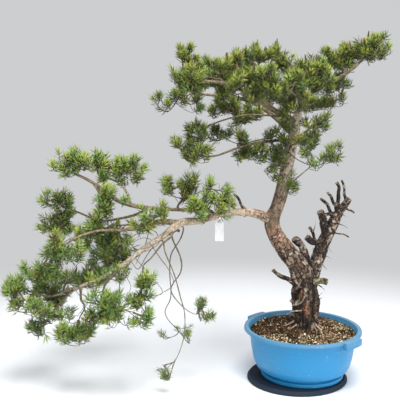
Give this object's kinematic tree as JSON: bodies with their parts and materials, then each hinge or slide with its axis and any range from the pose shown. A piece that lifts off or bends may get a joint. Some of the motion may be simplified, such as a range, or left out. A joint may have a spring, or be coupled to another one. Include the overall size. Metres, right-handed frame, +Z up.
{
  "type": "potted bonsai tree",
  "caption": "Leaning semi-cascade scots pine grown as a small tree, in a round plastic basin with two grips that stands on a flat round turntable",
  "frame": {"origin": "middle of the turntable's flat underside, which the whole object stands on", "axes": "+X to the right as the tree is shown, away from its long low side, +Y away from the viewer, +Z up"},
  "size_m": [1.1796, 0.4905, 1.0989],
  "materials": {
    "bark": "matte",
    "young_bark": "matte",
    "needles": "matte",
    "blue_plastic": "satin",
    "black_plastic": "matte",
    "grit": "matte",
    "white_plastic": "satin"
  },
  "bodies": {
    "root": {"bough_east_mass": "needles", "bough_knot_mass": "needles", "bough_west_mass": "needles", "crown_back_bough": "young_bark", "crown_back_mass": "needles", "crown_east_bough": "young_bark", "crown_east_low_mass": "needles", "crown_east_mass": "needles", "crown_east_tip_mass": "needles", "crown_front_mass": "needles", "crown_inner_mass": "needles", "crown_low_bough": "young_bark", "crown_mid_west_mass": "needles", "crown_peak_mass": "needles", "crown_ridge_mass": "needles", "crown_top_mass": "needles", "crown_under_mass": "needles", "crown_west_bough": "young_bark", "crown_west_mass": "needles", "crown_west_tip_mass": "needles", "dead_trunk": "bark", "east_low_mass": "needles", "east_mid_mass": "needles", "hanging_spray_1": "needles", "hanging_spray_2": "needles", "hanging_spray_3": "needles", "label": "white_plastic", "left_back_mass": "needles", "left_belly_mass": "needles", "left_bottom_mass": "needles", "left_bough": "young_bark", "left_brow_mass": "needles", "left_crest_mass": "needles", "left_droop_mass": "needles", "left_far_bough": "young_bark", "left_far_mass": "needles", "left_fore_bough": "young_bark", "left_hang_mass": "needles", "left_heart_mass": "needles", "left_low_mass": "needles", "left_mid_bough": "young_bark", "left_reach_mass": "needles", "left_ridge_mass": "needles", "left_rise_bough": "young_bark", "left_tip_bough": "young_bark", "left_top_mass": "needles", "left_under_mass": "needles", "left_upper_bough": "young_bark", "mid_back_mass": "needles", "mid_inner_mass": "needles", "mid_upper_mass": "needles", "mid_west_bough": "young_bark", "mid_west_mass": "needles", "pot": "blue_plastic", "soil": "grit", "trunk": "bark", "trunk_front_mass": "needles", "trunk_west_mass": "needles", "turntable": "black_plastic"}
  },
  "joints": []
}
